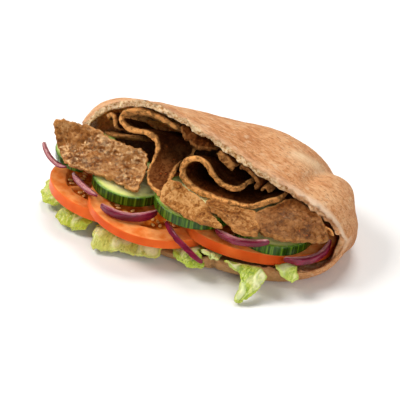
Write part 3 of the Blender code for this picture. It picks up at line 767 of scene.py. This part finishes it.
# Half the length, width and height of a tomato seed, and how much its thick end outgrows the thin one.
SEED_LONG, SEED_WIDE, SEED_HIGH, SEED_TAPER = 1.5, 0.85, 0.45, 0.35


def make_seeds(spots):
    """All the tomato seeds, as flat drops."""
    points, faces = [], []
    around, rings = 10, 7
    for centre, along, up in spots:
        across = np.cross(up, along)
        start = len(points)
        for ring in range(1, rings):
            t = math.pi * ring / rings
            middle = centre - along * SEED_LONG * math.cos(t)
            wide = SEED_WIDE * math.sin(t) * (1 - SEED_TAPER * math.cos(t))
            high = SEED_HIGH * math.sin(t)
            for step in range(around):
                a = 2 * math.pi * step / around
                points.append(middle + across * wide * math.cos(a) + up * high * math.sin(a))
        for ring in range(rings - 2):
            for step in range(around):
                a = start + ring * around + step
                b = start + ring * around + (step + 1) % around
                faces.append([a, b, b + around, a + around])
        faces.append([start + step for step in reversed(range(around))])
        faces.append([start + (rings - 2) * around + step for step in range(around)])
    finish_piece(mesh_of("tomato_seeds", points, faces), "tomato_seeds", seed_material(), "tomato")


# Half the length and width of a cucumber seed, as shares of the slice's radius.
CUCUMBER_SEED_LONG, CUCUMBER_SEED_WIDE = 0.115, 0.045
LOBES, SEEDS_IN_LOBE = 3, 7


def make_cucumber(node, turned, material):
    place = RoundFrame(node)
    # The seeds lie in three lobes, at two distances from the middle in turn.
    seeds = [
        (0.30 + 0.17 * (i % 2), turned + lobe * 2 * math.pi / LOBES + (i - SEEDS_IN_LOBE // 2) * 0.24)
        for lobe in range(LOBES)
        for i in range(SEEDS_IN_LOBE)
    ]

    def seed(share, angle):
        """1 on a seed, 0 between them."""
        total = np.zeros(len(share))
        for s, a in seeds:
            turn = (angle - a + math.pi) % (2 * math.pi) - math.pi
            away = np.hypot((share - s) / CUCUMBER_SEED_LONG, turn * share / CUCUMBER_SEED_WIDE)
            total = np.maximum(total, smoothstep(1.0, 0.55, away))
        return total

    def relief(share, angle):
        wave = ring_vector(share, angle) * 20
        dish = -0.35 * smoothstep(0.58, 0.45, share)
        return dish + 0.35 * seed(share, angle) + 0.10 * noise(wave, 2.0, 3)

    def masks(share, angle, level):
        return {
            "skin": smoothstep(0.975, 0.995, share),
            "depth": share,
            "seed": seed(share, angle) * (level > 0.99),
            "ring": ring_vector(share, angle),
        }

    mesh = round_mesh(place, node, around=200, rings=54, top_height=relief, masks=masks)
    finish_piece(mesh, node + "_slice", material, "cucumber", node)


# --- Onion -------------------------------------------------------------------------------------------
END_ANGLE = math.radians(50)  # an arc's end face meets all four faces around it at more than this


def arc_rings(node):
    """The CAD arc's rings of four corners, in order along it."""
    bm = welded(node)
    join_quads(bm)
    end = next(f for f in bm.faces if all(e.calc_face_angle(0) > END_ANGLE for e in f.edges))
    ring = list(end.verts)
    seen = set()
    rings = []
    while ring:
        rings.append([np.array(v.co) / MM for v in ring])
        seen.update(ring)
        ahead = [[e for e in v.link_edges if e.other_vert(v) not in seen] for v in ring]
        if not all(ahead):
            break
        shortest = [min(edges, key=bmesh.types.BMEdge.calc_length) for edges in ahead]
        ring = [edge.other_vert(v) for v, edge in zip(ring, shortest)]
    bm.free()
    return np.array(rings)


def circle_centre(a, b, c):
    """The centre of the circle through three points."""
    ab, ac = b - a, c - a
    axis = np.cross(ab, ac)
    return a + (np.cross(axis, ab) * (ac @ ac) + np.cross(ac, axis) * (ab @ ab)) / (2 * axis @ axis)


ARC_STEPS, ARC_AROUND = 90, 28
CORNERS = 0.45  # an arc's section is rounder the nearer this is to 1, and squarer towards 0
END_STEPS, END_SIZE = 3, 0.35  # the steps in which an arc narrows at its ends, and the size it ends with


def rounded(wave):
    """A sine or cosine that keeps near 1 or -1 for longer, for a square with rounded corners."""
    return np.sign(wave) * np.abs(wave) ** CORNERS


def make_onion(node, material):
    """A length of onion ring with rounded corners, from the CAD arc's own rings of four points."""
    rings = arc_rings(node)
    middles = rings.mean(axis=1)
    centre = circle_centre(middles[0], middles[len(middles) // 2], middles[-1])
    away = np.linalg.norm(rings[len(rings) // 2] - centre, axis=1)
    outer = int(np.argmax(away + np.roll(away, -1)))
    rings = np.roll(rings, -outer, axis=1)
    across = (rings[:, 0] + rings[:, 1] - rings[:, 2] - rings[:, 3]) / 4
    along = (rings[:, 1] + rings[:, 2] - rings[:, 0] - rings[:, 3]) / 4
    stops = np.concatenate([[0], np.cumsum(np.linalg.norm(np.diff(middles, axis=0), axis=1))])
    steps = np.linspace(0, stops[-1], ARC_STEPS)

    def spread(values):
        """The values at even steps along the arc."""
        return np.column_stack([np.interp(steps, stops, values[:, k]) for k in range(3)])

    middles, across, along = spread(middles), spread(across), spread(along)
    section = np.linspace(0, 2 * math.pi, ARC_AROUND, endpoint=False)
    wide, tall = rounded(np.cos(section)), rounded(np.sin(section))
    ends = np.minimum(np.arange(ARC_STEPS), np.arange(ARC_STEPS)[::-1])
    closing = np.minimum(1, ends / END_STEPS + END_SIZE)
    # The skin covers the outer side and, thinner, the inner one. The layers lie across the section.
    skin = smoothstep(0.05, 0.45, wide) + 0.55 * smoothstep(-0.80, -0.97, wide)
    made, layer = [], []
    for i in range(ARC_STEPS):
        made.append(middles[i] + (np.outer(wide, across[i]) + np.outer(tall, along[i])) * closing[i])
        layer.append([(w, steps[i] * 0.05, 0) for w in wide])
    made, layer = np.concatenate(made), np.concatenate(layer)
    made = made + np.column_stack([noise(made + 20 * k, 5.0, 2) for k in range(3)]) * 0.25
    faces = []
    for ring in range(ARC_STEPS - 1):
        a = ring * ARC_AROUND + np.arange(ARC_AROUND)
        b = ring * ARC_AROUND + (np.arange(ARC_AROUND) + 1) % ARC_AROUND
        faces += np.column_stack([a, b, b + ARC_AROUND, a + ARC_AROUND]).tolist()
    faces.append(list(reversed(range(ARC_AROUND))))
    faces.append([(ARC_STEPS - 1) * ARC_AROUND + k for k in range(ARC_AROUND)])
    mesh = mesh_of(node, made, faces, skin=np.tile(skin, ARC_STEPS), layer=layer)
    mesh.update()
    bm = bmesh.new()
    bm.from_mesh(mesh)
    bmesh.ops.recalc_face_normals(bm, faces=bm.faces)
    bm.to_mesh(mesh)
    bm.free()
    finish_piece(mesh, node + "_arc", material, "red_onion", node)


# --- Surroundings ------------------------------------------------------------------------------------
AIM = Vector((-2.9, -15.0, 20.0)) * MM
CAMERA_AZIMUTH, CAMERA_ELEVATION, CAMERA_DISTANCE = 33, 32, 0.7
CAMERA_LENS = 123.0
# Each lamp: its name, azimuth, elevation, distance and size in metres, power and colour.
LAMPS = (
    ("key", -66, 50, 1.1, 0.45, 8.0, (1.0, 0.97, 0.93)),
    ("top", 190, 66, 1.2, 0.5, 7.0, (1.0, 0.98, 0.95)),
    ("front", 50, 28, 1.3, 0.6, 5.0, (1.0, 0.98, 0.96)),
)
FLOOR_EDGE = 3000.0


def direction(azimuth, elevation):
    """The way to a place that many degrees to the right of the front, and above the floor."""
    a, e = math.radians(azimuth), math.radians(elevation)
    return Vector((math.sin(a) * math.cos(e), -math.cos(a) * math.cos(e), math.sin(e)))


def stand(data, place, towards):
    """Adds a lamp or camera at a place, turned that way, and returns its object."""
    item = bpy.data.objects.new(data.name, data)
    bpy.context.scene.collection.objects.link(item)
    item.location = place
    item.rotation_mode = "QUATERNION"
    item.rotation_quaternion = towards.to_track_quat("-Z", "Y")
    return item


def make_camera():
    """Looks at the sandwich as the photograph does."""
    data = bpy.data.cameras.new("camera")
    data.lens = CAMERA_LENS
    data.clip_start = 0.01
    back = direction(CAMERA_AZIMUTH, CAMERA_ELEVATION)
    bpy.context.scene.camera = stand(data, AIM + back * CAMERA_DISTANCE, -back)


def make_lamp(name, azimuth, elevation, distance, size, power, colour):
    data = bpy.data.lights.new(name, "AREA")
    data.size = size
    data.energy = power
    data.color = colour
    back = direction(azimuth, elevation)
    stand(data, back * distance, -back)


def make_surroundings():
    """A pale studio with a floor."""
    scene = bpy.context.scene
    scene.view_settings.view_transform = "Standard"
    world = bpy.data.worlds.new("studio")
    scene.world = world
    world.use_nodes = True
    background = world.node_tree.nodes["Background"]
    background.inputs["Color"].default_value = (1.0, 0.99, 0.97, 1.0)
    background.inputs["Strength"].default_value = 0.24
    for lamp in LAMPS:
        make_lamp(*lamp)
    m = Shader("floor", Roughness=0.6)
    m.set(Base_Color=m.ramp(m.noise(60.0, 2), (0.3, (0.95, 0.95, 0.95)), (0.7, (0.98, 0.98, 0.98))))
    corners = [(x * FLOOR_EDGE, y * FLOOR_EDGE, 0) for x, y in ((-1, -1), (1, -1), (1, 1), (-1, 1))]
    mesh = mesh_of("floor", corners, [(0, 1, 2, 3)])
    mesh.materials.append(m.material)
    floor = bpy.data.objects.new("floor", mesh)
    scene.collection.objects.link(floor)


def main():
    make_camera()
    make_surroundings()
    make_pita()
    for node, look in MEATS.items():
        make_meat(node, *look)
    for node, (deep, bright) in LEAVES.items():
        make_leaf(node, deep, bright)
    tomato = tomato_material()
    spots = []
    for node, (chambers, turned, wall) in TOMATOES.items():
        spots += make_tomato(node, chambers, turned, wall, tomato)
    make_seeds(spots)
    cucumber = cucumber_material()
    cucumbers = [node for node in sorted(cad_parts) if node.startswith("cucumber")]
    for index, node in enumerate(cucumbers):
        turned = 0.4 + 1.1 * index
        make_cucumber(node, turned, cucumber)
    onion = onion_material()
    for node in sorted(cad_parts):
        if node.startswith("onion"):
            make_onion(node, onion)


main()
